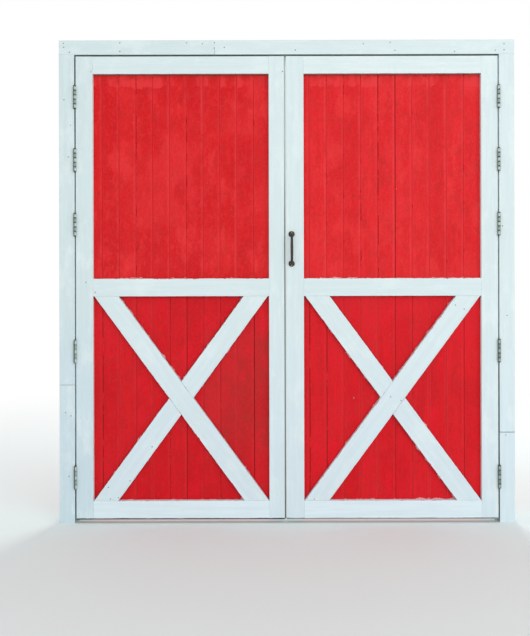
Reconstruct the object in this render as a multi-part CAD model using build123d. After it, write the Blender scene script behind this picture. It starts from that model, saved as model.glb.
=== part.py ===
from build123d import *
from dataclasses import dataclass
import math
import os

# A pair of outward opening barn door leaves in a timber frame. Millimetres.
# The origin is on the floor, midway between the jambs, on the line where the
# leaves close against their stops. +X is to the right seen from outside, +Y
# points to the inside and +Z is up.

# Leaves
left_leaf_width = 938.0
right_leaf_width = 954.0
leaf_height = 2084.0
leaf_thickness = 40.0
face_thickness = 22.0  # stile lips, rails and braces in front of the boards
floor_gap = 15.0
head_gap = 8.0
meeting_gap = 8.0

left_hinge_stile_width = 77.0
left_meeting_stile_width = 69.0
right_hinge_stile_width = 75.0
right_meeting_stile_width = 80.0
top_rail_height = 79.0
mid_rail_height = 80.0
bottom_rail_height = 84.0
mid_rail_rise = 1004.0  # underside of the mid rail above the leaf's bottom edge
edge_ease = 1.5
rebate_width = 12.0
rebate_clearance = 1.0

tenon_length = 30.0
tenon_thickness = 8.0
tenon_shoulder = 14.0
tenon_clearance = 0.2

# Cross braces of the lower panel
brace_width = 88.0
brace_top_corner_gap = 6.0
brace_bottom_corner_gap = 3.0
brace_joint_gap = 0.4

# Tongue and groove boards, the first and last of each leaf ripped to a width
board_count = 11
left_first_cover = 39.6
left_last_cover = 67.5
right_first_cover = 26.6
right_last_cover = 74.0
board_joint_gap = 0.4
board_vee = 2.2
tongue_length = 6.0
tongue_thickness = 6.0
groove_clearance = 0.3

# Frame
casing_thickness = 20.0
leg_casing_width = 69.0
head_casing_height = 65.0
casing_joint_gap = 1.5
head_casing_joint = -323.0  # across, from the middle of the frame
left_leg_joint = 621.0  # above the floor
right_leg_joint = 404.0
jamb_thickness = 25.0
jamb_depth = 105.0
stop_thickness = 12.0
stop_depth = 35.0
stop_clearance = 1.0

# Screw holes through each jamb, a pair towards each end
fixing_hole_radius = 2.75
fixing_setback = 25.0  # behind the stop
fixing_pitch = 550.0
fixing_foot_distance = 250.0
fixing_head_distance = 207.0

# Butt hinges
hinge_rises = [190.0, 757.0]  # from the leaf's bottom edge to a hinge's middle
hinge_drops = [757.0, 467.0, 184.0]  # from the leaf's top edge
hinge_height = 102.0
hinge_plate_thickness = 2.5
hinge_plate_depth = 45.0  # from the pin's axis
hinge_plate_space = 1.0  # between the two closed plates
knuckle_count = 5
knuckle_radius = 6.5
knuckle_flat_count = 16  # facets that stand for the rolled barrel
bore_flat_count = 6
knuckle_gap = 0.3
knuckle_stand_off = 0.3  # the barrel clears the door's face by this much
pin_radius = 3.5
pin_clearance = 0.05
pin_head_radius = 5.2
pin_head_height = 2.4
pin_tip_length = 2.0  # below the barrel

# Pull handle
handle_height = 1231.5  # middle of the grip above the floor
handle_edge_distance = 25.0  # from the right leaf's meeting edge
handle_centres = 133.0
handle_projection = 45.0
handle_post_radius = 5.7
handle_bend_run = 16.0  # taken off each corner by the bend
handle_flat_count = 12  # forged facets round the bar
grip_radius = 6.5
grip_length = 78.0
rosette_radius = 14.0
rosette_height = 6.0
rosette_bevel = 3.5

# Weather strip in the meeting gap
seal_clearance = 2.3  # to the right leaf's edge
seal_depth = 9.0
seal_setback = 12.0  # behind the door's face
seal_base_thickness = 2.0

# Barrel bolts on the back of the left leaf
bolt_radius = 5.0
bolt_length = 112.0
bolt_tip_setback = 8.0  # retracted tip inside the leaf's end
bolt_tip_chamfer = 1.5
bolt_running_clearance = 0.1
bolt_stand_off = 10.0  # axis behind the leaf's back face
bolt_edge_distance = 28.0  # from the left leaf's meeting edge
bolt_travel = 34.0
bolt_hole_clearance = 1.0
bolt_hole_end_room = 2.0
bolt_plate_width = 34.0
bolt_plate_height = 100.0
bolt_plate_thickness = 2.0
bolt_plate_setback = 12.0
bolt_plate_corner = 3.0
bolt_guide_height = 14.0
bolt_guide_wall = 3.0
bolt_guide_bevel = 4.0
bolt_bore_flat_count = 12
bolt_knob_radius = 4.0
bolt_knob_reach = 18.0
bolt_knob_room = 3.0  # between the parked knob and its guide

# Places that follow from the sizes above
hinge_gap = 2 * hinge_plate_thickness + hinge_plate_space
opening_width = left_leaf_width + right_leaf_width + meeting_gap + 2 * hinge_gap
opening_half = opening_width / 2
leaf_bottom = floor_gap
leaf_top = floor_gap + leaf_height
opening_height = leaf_top + head_gap
left_hinge_edge = -opening_half + hinge_gap
left_meeting_edge = left_hinge_edge + left_leaf_width
right_meeting_edge = left_meeting_edge + meeting_gap
right_hinge_edge = opening_half - hinge_gap
leaf_back = 0.0
leaf_front = -leaf_thickness
board_front = leaf_front + face_thickness
casing_back = leaf_front + casing_thickness
jamb_back = casing_back + jamb_depth
stop_front = leaf_back + stop_clearance
stop_back = stop_front + stop_depth
casing_half = opening_half + leg_casing_width
jamb_outside = opening_half + jamb_thickness
mid_rail_bottom = leaf_bottom + mid_rail_rise
mid_rail_top = mid_rail_bottom + mid_rail_height
top_rail_bottom = leaf_top - top_rail_height
bottom_rail_top = leaf_bottom + bottom_rail_height
hinge_axis_y = leaf_front - knuckle_radius - knuckle_stand_off
bolt_x = left_meeting_edge - bolt_edge_distance
bolt_y = leaf_back + bolt_stand_off


@dataclass
class Leaf:
    """One leaf as seen from outside, with the panel between its stiles."""

    side: str
    left_edge: float
    right_edge: float
    left_stile: str
    right_stile: str
    left_stile_width: float
    right_stile_width: float
    first_cover: float
    last_cover: float
    long_brace_lean: int  # 1 rises to the right, -1 rises to the left

    @property
    def panel_left(self):
        return self.left_edge + self.left_stile_width

    @property
    def panel_right(self):
        return self.right_edge - self.right_stile_width


left_leaf = Leaf(
    side="left",
    left_edge=left_hinge_edge,
    right_edge=left_meeting_edge,
    left_stile="hinge_stile",
    right_stile="meeting_stile",
    left_stile_width=left_hinge_stile_width,
    right_stile_width=left_meeting_stile_width,
    first_cover=left_first_cover,
    last_cover=left_last_cover,
    long_brace_lean=-1,
)
right_leaf = Leaf(
    side="right",
    left_edge=right_meeting_edge,
    right_edge=right_hinge_edge,
    left_stile="meeting_stile",
    right_stile="hinge_stile",
    left_stile_width=right_meeting_stile_width,
    right_stile_width=right_hinge_stile_width,
    first_cover=right_first_cover,
    last_cover=right_last_cover,
    long_brace_lean=1,
)


def block(low, high):
    """A plain box between two corners."""
    size = [b - a for a, b in zip(low, high)]
    middle = [(a + b) / 2 for a, b in zip(low, high)]
    return Pos(*middle) * Box(*size)


def timber(low, high, grain):
    """A sawn board between two corners, its long front edges planed off."""
    board = block(low, high)
    front_edges = board.edges().filter_by(grain).group_by(Axis.Y)[0]
    return chamfer(front_edges, edge_ease)


# Frame


def leg_casings(side, joint_height):
    """The upper and lower boards beside the opening, on side -1 or 1."""
    inner, outer = sorted([side * opening_half, side * casing_half])
    lower = timber(
        (inner, leaf_front, 0),
        (outer, casing_back, joint_height - casing_joint_gap / 2),
        Axis.Z,
    )
    upper = timber(
        (inner, leaf_front, joint_height + casing_joint_gap / 2),
        (outer, casing_back, opening_height),
        Axis.Z,
    )
    return lower, upper


def head_casings():
    """The two boards over the opening, which run over the legs' tops."""
    top = opening_height + head_casing_height
    left = timber(
        (-casing_half, leaf_front, opening_height),
        (head_casing_joint - casing_joint_gap / 2, casing_back, top),
        Axis.X,
    )
    right = timber(
        (head_casing_joint + casing_joint_gap / 2, leaf_front, opening_height),
        (casing_half, casing_back, top),
        Axis.X,
    )
    return left, right


def side_jamb(side):
    """A jamb with a column of screw holes behind its stop."""
    inner, outer = sorted([side * opening_half, side * jamb_outside])
    jamb = block((inner, casing_back, 0), (outer, jamb_back, opening_height))
    hole = Rot(0, 90, 0) * Cylinder(fixing_hole_radius, 3 * jamb_thickness)
    lowest = fixing_foot_distance
    highest = opening_height - fixing_head_distance
    for height in (lowest, lowest + fixing_pitch, highest - fixing_pitch, highest):
        jamb -= Pos(side * opening_half, stop_back + fixing_setback, height) * hole
    return jamb


def bolt_hole():
    """The round hole that the top bolt shoots into."""
    top = leaf_top - bolt_tip_setback + bolt_travel + bolt_hole_end_room
    start = opening_height - 2 * stop_thickness
    hole = Cylinder(
        bolt_radius + bolt_hole_clearance,
        top - start,
        align=(Align.CENTER, Align.CENTER, Align.MIN),
    )
    return Pos(bolt_x, bolt_y, start) * hole


def head_jamb():
    """The head, laid over the side jambs' ends."""
    head = block(
        (-jamb_outside, casing_back, opening_height),
        (jamb_outside, jamb_back, opening_height + jamb_thickness),
    )
    return head - bolt_hole()


def side_stop(side):
    """The strip that a leaf's hinge stile closes against."""
    outer = side * opening_half
    inner = side * (opening_half - stop_thickness)
    low, high = sorted([outer, inner])
    top = opening_height - stop_thickness
    return block((low, stop_front, 0), (high, stop_back, top))


def head_stop():
    """The strip that both top rails close against."""
    stop = block(
        (-opening_half, stop_front, opening_height - stop_thickness),
        (opening_half, stop_back, opening_height),
    )
    return stop - bolt_hole()


# Leaves


def tenon(edge, side, bottom, top, clearance):
    """A tongue into a stile from its inner edge, on side -1 or 1."""
    middle = leaf_front + face_thickness / 2
    half = tenon_thickness / 2 + clearance
    near, far = sorted([edge, edge + side * (tenon_length + clearance)])
    return block(
        (near, middle - half, bottom + tenon_shoulder - clearance),
        (far, middle + half, top - tenon_shoulder + clearance),
    )


def rail_levels():
    """Bottom and top heights of the bottom, mid and top rails."""
    return {
        "bottom_rail": (leaf_bottom, bottom_rail_top),
        "mid_rail": (mid_rail_bottom, mid_rail_top),
        "top_rail": (top_rail_bottom, leaf_top),
    }


def stile(left, right, panel_edge, side):
    """A full thickness stile, rebated for the boards and mortised for rails."""
    post = timber((left, leaf_front, leaf_bottom), (right, leaf_back, leaf_top), Axis.Z)
    near, far = sorted([panel_edge, panel_edge + side * rebate_width])
    rebate = block((near, board_front, leaf_bottom), (far, leaf_back, leaf_top))
    head = block(
        (near, board_front, top_rail_bottom + rebate_width),
        (far, leaf_back, leaf_top),
    )
    post -= rebate - head
    for bottom, top in rail_levels().values():
        post -= tenon(panel_edge, side, bottom, top, tenon_clearance)
    return post


def rail(leaf, name):
    """A rail between the stiles with a tenon at each end."""
    bottom, top = rail_levels()[name]
    back = leaf_back if name == "top_rail" else board_front
    beam = timber(
        (leaf.panel_left, leaf_front, bottom),
        (leaf.panel_right, back, top),
        Axis.X,
    )
    if name == "top_rail":
        beam -= block(
            (leaf.panel_left, board_front, bottom),
            (leaf.panel_right, leaf_back, bottom + rebate_width),
        )
    beam += tenon(leaf.panel_left, -1, bottom, top, 0)
    beam += tenon(leaf.panel_right, 1, bottom, top, 0)
    return beam


def brace_run(leaf):
    """Sideways run per millimetre of height that fits a brace in the panel."""
    width = leaf.panel_right - leaf.panel_left
    width -= brace_top_corner_gap + brace_bottom_corner_gap
    height = mid_rail_bottom - bottom_rail_top
    a = height**2 - brace_width**2
    b = width * height
    c = width**2 - brace_width**2
    return (b - math.sqrt(b**2 - a * c)) / a


def brace_board(leaf, lean, width):
    """A board laid corner to corner across the lower panel, ends untrimmed."""
    run = brace_run(leaf)
    half_end = brace_width * math.sqrt(1 + run**2) / 2
    top_x = leaf.panel_right - brace_top_corner_gap - half_end
    bottom_x = leaf.panel_left + brace_bottom_corner_gap + half_end
    if lean < 0:
        top_x = leaf.panel_left + brace_top_corner_gap + half_end
        bottom_x = leaf.panel_right - brace_bottom_corner_gap - half_end
    rise = mid_rail_bottom - bottom_rail_top
    length = math.hypot(top_x - bottom_x, rise) + 2 * brace_width
    angle = math.degrees(math.atan2(rise, top_x - bottom_x))
    half = (length / 2, face_thickness / 2, width / 2)
    board = timber([-value for value in half], half, Axis.X)
    middle_y = leaf_front + face_thickness / 2
    middle_z = (mid_rail_bottom + bottom_rail_top) / 2
    return Pos((top_x + bottom_x) / 2, middle_y, middle_z) * Rot(0, -angle, 0) * board


def braces(leaf):
    """The unbroken brace and the two halves that butt against its edges."""
    panel = block(
        (leaf.panel_left, leaf_front, bottom_rail_top),
        (leaf.panel_right, board_front, mid_rail_bottom),
    )
    lean = leaf.long_brace_lean
    long_brace = brace_board(leaf, lean, brace_width) & panel
    saw_line = brace_board(leaf, lean, brace_width + 2 * brace_joint_gap)
    saw_line += Pos(0, edge_ease, 0) * saw_line
    saw_line += Pos(0, -edge_ease, 0) * saw_line
    crossing = (brace_board(leaf, -lean, brace_width) & panel) - saw_line
    lower, upper = crossing.solids().sort_by(Axis.Z)
    return long_brace, lower, upper


def board_section(left, right, groove, tongue):
    """Section of a board: veed front corners, a groove left, a tongue right."""
    width = right - left
    thickness = leaf_back - board_front
    section = Rectangle(width, thickness)
    front = section.vertices().group_by(Axis.Y)[0].sort_by(Axis.X)
    veed = [corner for corner, joint in zip(front, (groove, tongue)) if joint]
    section = chamfer(veed, board_vee)
    if groove:
        slot = Rectangle(
            2 * (tongue_length + groove_clearance),
            tongue_thickness + 2 * groove_clearance,
        )
        section -= Pos(-width / 2, 0) * slot
    if tongue:
        lip = Rectangle(2 * tongue_length, tongue_thickness)
        section += Pos(width / 2, 0) * lip
    return Pos((left + right) / 2, (leaf_back + board_front) / 2) * section


def boards(leaf):
    """The boards of one leaf from left to right, even between the end ones."""
    low = leaf.panel_left - rebate_width + rebate_clearance
    high = leaf.panel_right + rebate_width - rebate_clearance
    top = top_rail_bottom + rebate_width - rebate_clearance
    first_seam = leaf.panel_left + leaf.first_cover
    last_seam = leaf.panel_right - leaf.last_cover
    cover = (last_seam - first_seam) / (board_count - 2)
    seams = [first_seam + index * cover for index in range(board_count - 1)]
    half_gap = board_joint_gap / 2
    starts = [low] + [seam + half_gap for seam in seams]
    ends = [seam - half_gap for seam in seams] + [high]
    solids = []
    for index, (start, end) in enumerate(zip(starts, ends)):
        section = board_section(start, end, index > 0, index < len(seams))
        solids.append(Pos(0, 0, leaf_bottom) * extrude(section, top - leaf_bottom))
    return solids


# Hinges


def knuckle_spans(first):
    """Bottom and top of every second knuckle, counted from the given one."""
    length = (hinge_height - (knuckle_count - 1) * knuckle_gap) / knuckle_count
    spans = []
    for index in range(first, knuckle_count, 2):
        bottom = -hinge_height / 2 + index * (length + knuckle_gap)
        spans.append((bottom, bottom + length))
    return spans


def hinge_plate(side, first):
    """A plate behind its own knuckles, lying on side -1 or 1 of the axis."""
    inner = side * hinge_plate_space / 2
    outer = side * (hinge_plate_space / 2 + hinge_plate_thickness)
    low, high = sorted([inner, outer])
    root = knuckle_radius + knuckle_gap
    half = hinge_height / 2
    plate = block((low, root, -half), (high, hinge_plate_depth, half))
    bore = RegularPolygon(pin_radius + pin_clearance, bore_flat_count, major_radius=False)
    rolled = RegularPolygon(knuckle_radius, knuckle_flat_count)
    rolled += Pos((low + high) / 2, root / 2) * Rectangle(hinge_plate_thickness, root)
    for bottom, top in knuckle_spans(first):
        plate += Pos(0, 0, bottom) * extrude(rolled - bore, top - bottom)
    return plate


def hinge_pin():
    """A round pin with a flat head above the barrel and its tip below."""
    shank_length = pin_tip_length + hinge_height
    shank = Cylinder(pin_radius, shank_length, align=(Align.CENTER, Align.CENTER, Align.MIN))
    head = extrude(RegularPolygon(pin_head_radius, knuckle_flat_count), pin_head_height)
    pin = shank + Pos(0, 0, shank_length) * head
    return Pos(0, 0, -hinge_height / 2 - pin_tip_length) * pin


def hinge_places(side):
    """Where the hinges of one jamb sit, on their common axis."""
    axis_x = side * (opening_half - hinge_gap / 2)
    heights = [leaf_bottom + rise for rise in hinge_rises]
    heights += [leaf_top - drop for drop in hinge_drops]
    return [Pos(axis_x, hinge_axis_y, height) for height in heights]


def hinge_set(side):
    """Frame plates and leaf plates of one jamb, on side -1 or 1."""
    frame_plates = [place * hinge_plate(side, 0) for place in hinge_places(side)]
    leaf_plates = [place * hinge_plate(-side, 1) for place in hinge_places(side)]
    return frame_plates, leaf_plates


def hinge_pins():
    """All the pins, which stay with the frame."""
    return [place * hinge_pin() for side in (-1, 1) for place in hinge_places(side)]


# Pull handle


def rosette():
    """A round foot bevelled towards its post, its back on the origin."""
    disc = Cylinder(rosette_radius, rosette_height, align=(Align.CENTER, Align.CENTER, Align.MIN))
    return chamfer(disc.edges().group_by(Axis.Z)[-1], rosette_bevel)


def bow():
    """The bar bent through two steps at each end, from foot to foot."""
    reach = handle_projection - grip_radius
    half = handle_centres / 2
    run = handle_bend_run
    step = run * (1 - math.sqrt(0.5))
    path = Polyline(
        (0, 0, -half),
        (0, run - reach, -half),
        (0, step - reach, step - half),
        (0, -reach, run - half),
        (0, -reach, half - run),
        (0, step - reach, half - step),
        (0, run - reach, half),
        (0, 0, half),
    )
    start = Plane(origin=(0, 0, -half), z_dir=(0, -1, 0))
    ring = start * RegularPolygon(handle_post_radius, handle_flat_count)
    return sweep(ring, path=path, transition=Transition.RIGHT)


def grip():
    """The swelling of the bar, thickest in the middle of its height."""
    thin = RegularPolygon(handle_post_radius, handle_flat_count)
    thick = RegularPolygon(grip_radius, handle_flat_count)
    half = grip_length / 2
    return loft([Pos(0, 0, -half) * thin, thick, Pos(0, 0, half) * thin], ruled=True)


def pull_handle():
    """One forging: two round feet, the bent bar and its swelling grip."""
    forging = bow() + Pos(0, grip_radius - handle_projection, 0) * grip()
    for end in (-handle_centres / 2, handle_centres / 2):
        forging += Pos(0, 0, end) * Rot(90, 0, 0) * rosette()
    return Pos(right_meeting_edge + handle_edge_distance, leaf_front, handle_height) * forging


# Weather strip


def meeting_seal():
    """A D section strip fixed along the left leaf's meeting edge."""
    half = seal_depth / 2
    reach = meeting_gap - seal_clearance
    crown = ThreePointArc((seal_base_thickness, -half), (reach, 0), (seal_base_thickness, half))
    base = Polyline((seal_base_thickness, half), (0, half), (0, -half), (seal_base_thickness, -half))
    section = make_face([crown, base])
    strip = extrude(section, leaf_height)
    return Pos(left_meeting_edge, leaf_front + seal_setback + half, leaf_bottom) * strip


# Barrel bolts


def bolt_guide():
    """A block with bevelled shoulders and the bore that the bolt runs in."""
    width = 2 * (bolt_radius + bolt_guide_wall)
    depth = bolt_stand_off + width / 2
    section = Pos(0, depth / 2) * Rectangle(width, depth)
    section = chamfer(section.vertices().group_by(Axis.Y)[-1], bolt_guide_bevel)
    bore_radius = bolt_radius + bolt_running_clearance
    bore = RegularPolygon(bore_radius, bolt_bore_flat_count, major_radius=False)
    return extrude(section - Pos(0, bolt_stand_off) * bore, bolt_guide_height)


def bolt_case():
    """A screw plate with a guide at each end, its top end at the origin."""
    height = bolt_plate_height
    plate = block(
        (-bolt_plate_width / 2, 0, -height),
        (bolt_plate_width / 2, bolt_plate_thickness, 0),
    )
    corners = plate.edges().filter_by(Axis.Y)
    case = chamfer(corners, bolt_plate_corner)
    case += Pos(0, 0, -height) * bolt_guide()
    case += Pos(0, 0, -bolt_guide_height) * bolt_guide()
    return case


def bolt_rod():
    """A round bolt and its knob, the tip at the end of the screw plate."""
    tip = bolt_plate_setback - bolt_tip_setback
    rod = Cylinder(bolt_radius, bolt_length, align=(Align.CENTER, Align.CENTER, Align.MAX))
    rod = chamfer(rod.edges().group_by(Axis.Z)[-1], bolt_tip_chamfer)
    knob_height = -bolt_plate_height + bolt_guide_height + bolt_knob_room + bolt_knob_radius
    knob = Cylinder(
        bolt_knob_radius,
        bolt_knob_reach,
        align=(Align.CENTER, Align.CENTER, Align.MIN),
    )
    bolt = Pos(0, 0, tip) * rod + Pos(0, 0, knob_height) * Rot(-90, 0, 0) * knob
    return Pos(0, bolt_stand_off, 0) * bolt


def top_bolt_place(shape):
    """Stand a bolt piece at the top of the left leaf's meeting stile."""
    return Pos(bolt_x, leaf_back, leaf_top - bolt_plate_setback) * shape


def bottom_bolt_place(shape):
    """Hang a bolt piece upside down at the bottom of the same stile."""
    turned = mirror(shape, Plane.XY)
    return Pos(bolt_x, leaf_back, leaf_bottom + bolt_plate_setback) * turned


# Collecting and writing


def frame_pieces():
    """Every fixed timber piece by name."""
    left_lower, left_upper = leg_casings(-1, left_leg_joint)
    right_lower, right_upper = leg_casings(1, right_leg_joint)
    head_left, head_right = head_casings()
    return {
        "left_casing_lower": left_lower,
        "left_casing_upper": left_upper,
        "right_casing_lower": right_lower,
        "right_casing_upper": right_upper,
        "head_casing_left": head_left,
        "head_casing_right": head_right,
        "left_jamb": side_jamb(-1),
        "right_jamb": side_jamb(1),
        "head_jamb": head_jamb(),
        "left_stop": side_stop(-1),
        "right_stop": side_stop(1),
        "head_stop": head_stop(),
    }


def leaf_pieces(leaf):
    """Every timber piece of one leaf by name."""
    long_brace, short_lower, short_upper = braces(leaf)
    pieces = {
        leaf.left_stile: stile(leaf.left_edge, leaf.panel_left, leaf.panel_left, -1),
        leaf.right_stile: stile(leaf.panel_right, leaf.right_edge, leaf.panel_right, 1),
        "long_brace": long_brace,
        "short_brace_lower": short_lower,
        "short_brace_upper": short_upper,
    }
    for name in rail_levels():
        pieces[name] = rail(leaf, name)
    for number, board in enumerate(boards(leaf), start=1):
        pieces[f"board_{number:02d}"] = board
    return {f"{leaf.side}_{name}": piece for name, piece in pieces.items()}


def hardware_pieces():
    """Hinges, handle, weather strip and bolts by name."""
    left_frame_plates, left_leaf_plates = hinge_set(-1)
    right_frame_plates, right_leaf_plates = hinge_set(1)
    case = bolt_case()
    rod = bolt_rod()
    return {
        "left_hinge_frame_plates": Compound(left_frame_plates),
        "left_hinge_leaf_plates": Compound(left_leaf_plates),
        "right_hinge_frame_plates": Compound(right_frame_plates),
        "right_hinge_leaf_plates": Compound(right_leaf_plates),
        "hinge_pins": Compound(hinge_pins()),
        "pull_handle": pull_handle(),
        "meeting_seal": meeting_seal(),
        "bolt_cases": Compound([top_bolt_place(case), bottom_bolt_place(case)]),
        "top_bolt": top_bolt_place(rod),
        "bottom_bolt": bottom_bolt_place(rod),
    }


def main():
    """Build every piece and write one file for each."""
    os.makedirs("parts", exist_ok=True)
    pieces = frame_pieces()
    pieces.update(leaf_pieces(left_leaf))
    pieces.update(leaf_pieces(right_leaf))
    pieces.update(hardware_pieces())
    for name, piece in pieces.items():
        export_step(piece, f"parts/{name}.step")
    print(len(pieces), "pieces written")


main()
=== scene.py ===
import math
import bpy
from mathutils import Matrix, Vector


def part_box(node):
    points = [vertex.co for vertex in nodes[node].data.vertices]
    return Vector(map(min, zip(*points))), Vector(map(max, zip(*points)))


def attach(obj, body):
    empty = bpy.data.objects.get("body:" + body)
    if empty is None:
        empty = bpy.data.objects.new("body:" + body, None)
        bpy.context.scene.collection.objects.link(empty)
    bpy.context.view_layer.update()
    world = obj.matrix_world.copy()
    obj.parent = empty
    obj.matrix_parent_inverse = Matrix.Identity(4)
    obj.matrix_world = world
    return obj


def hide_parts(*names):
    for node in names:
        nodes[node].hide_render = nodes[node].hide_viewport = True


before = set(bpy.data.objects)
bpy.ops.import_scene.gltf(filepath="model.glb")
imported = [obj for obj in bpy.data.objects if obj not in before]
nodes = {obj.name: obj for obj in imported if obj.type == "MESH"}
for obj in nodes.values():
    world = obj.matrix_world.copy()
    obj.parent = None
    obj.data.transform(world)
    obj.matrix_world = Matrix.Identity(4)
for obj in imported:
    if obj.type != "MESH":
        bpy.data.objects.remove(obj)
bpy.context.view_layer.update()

from types import SimpleNamespace

import bpy
import numpy as np

scene = bpy.context.scene
print("stage: frame loaded,", len(nodes), "nodes")


# Places read from the frame

acrossX, deepY, upZ = 0, 1, 2


def boxOf(node):  # low and high corner, in metres
    low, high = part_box(node)
    return np.array(low), np.array(high)


def middleOf(node):
    low, high = boxOf(node)
    return (low + high) / 2


def span(node, axis):  # low and high end of a node along one axis
    low, high = boxOf(node)
    return float(low[axis]), float(high[axis])


frontY = span("left_hinge_stile", deepY)[0]
leafBottom = span("left_hinge_stile", upZ)[0]
topRailBottom = span("left_top_rail", upZ)[0]
midRailBottom, midRailTop = span("left_mid_rail", upZ)
bottomRailTop = span("left_bottom_rail", upZ)[1]


# Meshes from arrays

def gridQuads(rows, columns, closeRows=False):
    # corner indices of a grid's quads, the last column joined to the first
    row = np.arange(rows if closeRows else rows - 1)[:, None]
    column = np.arange(columns)[None, :]
    nextRow = (row + 1) % rows
    nextColumn = (column + 1) % columns
    corners = [row * columns + column, row * columns + nextColumn,
               nextRow * columns + nextColumn, nextRow * columns + column]
    return np.stack(corners, -1).reshape(-1, 4)


def fan(pole, start, count, backwards=False):
    # triangles from a pole to the ring that begins at start
    here = start + np.arange(count)
    after = start + (np.arange(count) + 1) % count
    ring = (after, here) if backwards else (here, after)
    return np.stack([np.full(count, pole), *ring], -1).tolist()


def rings(profile, sides):
    # each radius and height of a profile as a circle of corners
    radius, height = np.asarray(profile, float).T
    angle = np.linspace(0, 2 * math.pi, sides, endpoint=False)
    circle = np.stack([np.cos(angle), np.sin(angle), np.zeros(sides)], -1)
    points = radius[:, None, None] * circle + height[:, None, None] * np.array([0, 0, 1.0])
    return points.reshape(-1, 3)


def turned(profile, sides):
    # a profile carried round Z, its two ends on the axis as poles
    poles = np.array([[0, 0, profile[0, 1]], [0, 0, profile[-1, 1]]])
    points = np.vstack([rings(profile[1:-1], sides), poles])
    rows = len(profile) - 2
    faces = gridQuads(rows, sides).tolist()
    faces += fan(len(points) - 2, 0, sides, True) + fan(len(points) - 1, (rows - 1) * sides, sides)
    return points, faces


def towards(direction, points):
    # turns points from up Z to another direction
    x, y, z = points.T
    turns = {
        "front": (x, -z, y),
        "back": (x, z, -y),
        "right": (z, x, y),
        "left": (-z, -x, y),
        "up": (x, y, z),
    }
    return np.stack(turns[direction], -1)


def joined(shapes):
    points, faces, start = [], [], 0
    for shapePoints, shapeFaces in shapes:
        points.append(shapePoints)
        faces += [[corner + start for corner in face] for face in shapeFaces]
        start += len(shapePoints)
    return np.vstack(points), faces


def repeated(shape, places, direction="up"):
    # a shape turned and set at each place, as one mesh
    points, faces = shape
    points = towards(direction, points)
    return joined([(points + np.array(place), faces) for place in places])


def newPiece(name, shape, metal, body, sharpAngle=50, marks=None):
    # marks: one number for each corner, kept for the material
    points, faces = shape
    mesh = bpy.data.meshes.new(name)
    mesh.from_pydata(points.tolist(), [], faces)
    if marks is not None:
        mesh.attributes.new("mark", "FLOAT", "POINT").data.foreach_set("value", marks)
    mesh.shade_smooth()
    mesh.set_sharp_from_angle(angle=math.radians(sharpAngle))
    mesh.materials.append(metals[metal])
    piece = bpy.data.objects.new(name, mesh)
    scene.collection.objects.link(piece)
    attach(piece, body)
    return piece


# Shader helpers

def tone(red, green, blue):  # a screen colour from 0 to 255 as the shader wants it
    share = np.array([red, green, blue]) / 255
    linear = np.where(share <= 0.04045, share / 12.92, ((share + 0.055) / 1.055) ** 2.4)
    return (*linear.tolist(), 1.0)


def put(tree, kind, **settings):
    node = tree.nodes.new("ShaderNode" + kind)
    for key, value in settings.items():
        setattr(node, key, value)
    return node


def feed(socket, value):  # links a socket, or sets a plain value
    if isinstance(value, bpy.types.NodeSocket):
        socket.id_data.links.new(value, socket)
    else:
        socket.default_value = value


def treeOf(*values):  # the node tree of the sockets among the values
    return next(value.id_data for value in values if isinstance(value, bpy.types.NodeSocket))


def sums(operation, *values):
    node = put(treeOf(*values), "Math", operation=operation)
    for socket, value in zip(node.inputs, values):
        feed(socket, value)
    return node.outputs[0]


def times(product, *factors):
    for factor in factors:
        product = sums("MULTIPLY", product, factor)
    return product


def between(share, low, high):  # from low to high as the share grows
    return sums("MULTIPLY_ADD", share, high - low, low) if low != high else low


def apartFrom(value, place):  # how far a value is from a place, either way
    return sums("ABSOLUTE", sums("SUBTRACT", value, place))


def fade(value, start, end):  # 0 before start, 1 after end, smooth between
    node = put(treeOf(value), "MapRange", interpolation_type="SMOOTHSTEP")
    for socket, given in zip(node.inputs, (value, start, end, 0.0, 1.0)):
        feed(socket, given)
    return node.outputs[0]


def shareOf(pattern, limits, *factors):  # a faded pattern times the factors
    return times(fade(pattern, *limits), *factors)


def mixed(share, first, second):
    node = put(treeOf(share, first, second), "Mix", data_type="RGBA")
    for index, value in ((0, share), (6, first), (7, second)):
        feed(node.inputs[index], value)
    return node.outputs[2]


def layered(colour, layers):  # each layer is the share it covers and its own colour
    for share, over in layers:
        colour = mixed(share, colour, over)
    return colour


def vectorMath(operation, vector, values):
    node = put(treeOf(vector), "VectorMath", operation=operation)
    feed(node.inputs[0], vector)
    node.inputs[1].default_value = values
    return node.outputs[0]


def noise(vector, stretch, scale, detail, roughness, offset=(0, 0, 0)):
    # the grain is drawn out along the axes whose stretch is under 1
    node = put(treeOf(vector), "TexNoise")
    if any(offset):
        vector = vectorMath("ADD", vector, offset)
    feed(node.inputs["Vector"], vectorMath("MULTIPLY", vector, stretch))
    for label, value in (("Scale", scale), ("Detail", detail), ("Roughness", roughness)):
        feed(node.inputs[label], value)
    return node.outputs[0]


def objectPlace(tree):
    return put(tree, "TexCoord").outputs["Object"]


def facing(tree):  # the surface's own direction, which turns with the leaf
    return put(tree, "TexCoord").outputs["Normal"]


def parts(vector):  # a vector's three numbers
    node = put(treeOf(vector), "SeparateXYZ")
    feed(node.inputs[0], vector)
    return node.outputs


def newGroup(name, inputs, outputs):
    tree = bpy.data.node_groups.new(name, "ShaderNodeTree")
    kinds = {"Vector": "Vector", "Base": "Color", "Light": "Color", "Dark": "Color", "Color": "Color"}
    for way, labels in (("INPUT", inputs), ("OUTPUT", outputs)):
        for label in labels:
            kind = "NodeSocket" + kinds.get(label, "Float")
            tree.interface.new_socket(name=label, in_out=way, socket_type=kind)
    return tree, tree.nodes.new("NodeGroupInput").outputs, tree.nodes.new("NodeGroupOutput").inputs


def useGroup(group, **values):
    node = put(treeOf(*values.values()), "Group", node_tree=group)
    for label, value in values.items():
        feed(node.inputs[label], value)
    return node.outputs


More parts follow.
